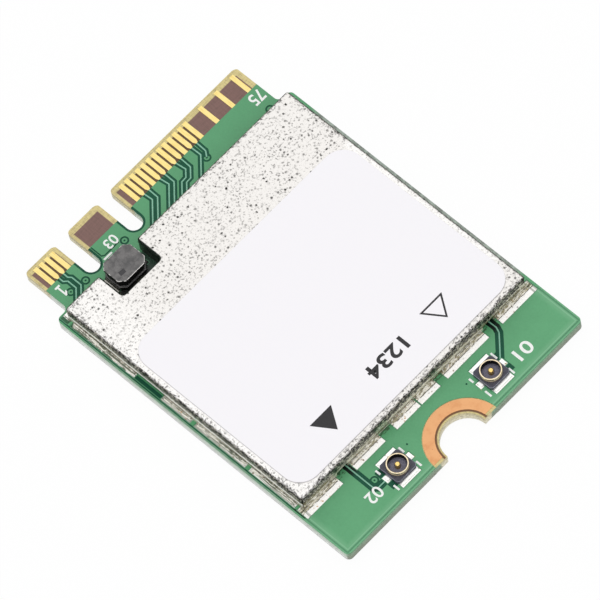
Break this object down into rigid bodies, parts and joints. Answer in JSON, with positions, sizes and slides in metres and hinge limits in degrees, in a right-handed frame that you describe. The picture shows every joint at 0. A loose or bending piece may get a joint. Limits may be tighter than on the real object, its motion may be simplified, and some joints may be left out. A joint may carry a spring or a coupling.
{
  "type": "wireless network card",
  "caption": "Small green circuit board with a keyed edge contact, a soldered metal shield under a white label, a power inductor and coaxial antenna sockets, for wireless networking.",
  "frame": {"origin": "middle of the card's back face", "axes": "+X across the card towards the last contact, +Y along the card towards the edge contacts, +Z out of the component side"},
  "size_m": [0.022, 0.03, 0.0022],
  "materials": {
    "laminate": "matte",
    "solder_mask": "satin",
    "gold": "satin",
    "bare_copper": "satin",
    "tin": "satin",
    "shield_sheet": "speckled satin",
    "label": "satin",
    "socket_plastic": "matte",
    "ferrite": "matte",
    "resin": "matte",
    "coil_wire": "gloss",
    "chip_case": "matte",
    "white_ceramic": "matte",
    "tan_ceramic": "matte"
  },
  "bodies": {
    "root": {"circuit_board": "laminate", "solder_mask_top": "solder_mask", "solder_mask_bottom": "solder_mask", "gold_fingers_top": "gold", "gold_fingers_bottom": "gold", "ground_ring_top": "bare_copper", "ground_ring_bottom": "bare_copper", "shield_pads": "tin", "shield_can": "shield_sheet", "shield_solder": "tin", "product_label": "label", "antenna_pads": "tin", "antenna_a_housing": "socket_plastic", "antenna_a_shell": "gold", "antenna_a_contact": "gold", "antenna_b_housing": "socket_plastic", "antenna_b_shell": "gold", "antenna_b_contact": "gold", "inductor_core": "ferrite", "inductor_coil": "coil_wire", "inductor_resin": "resin", "inductor_terminals": "tin", "inductor_pads": "tin", "radio_chip": "chip_case", "radio_chip_leads": "tin", "front_end_module_a": "chip_case", "front_end_module_b": "chip_case", "diplexer_a": "white_ceramic", "diplexer_b": "white_ceramic", "crystal_base": "white_ceramic", "crystal_lid": "tin", "memory_chip": "chip_case", "regulator_chip": "chip_case", "capacitor_bodies": "tan_ceramic", "capacitor_caps": "tin", "component_pads": "tin"}
  },
  "joints": []
}
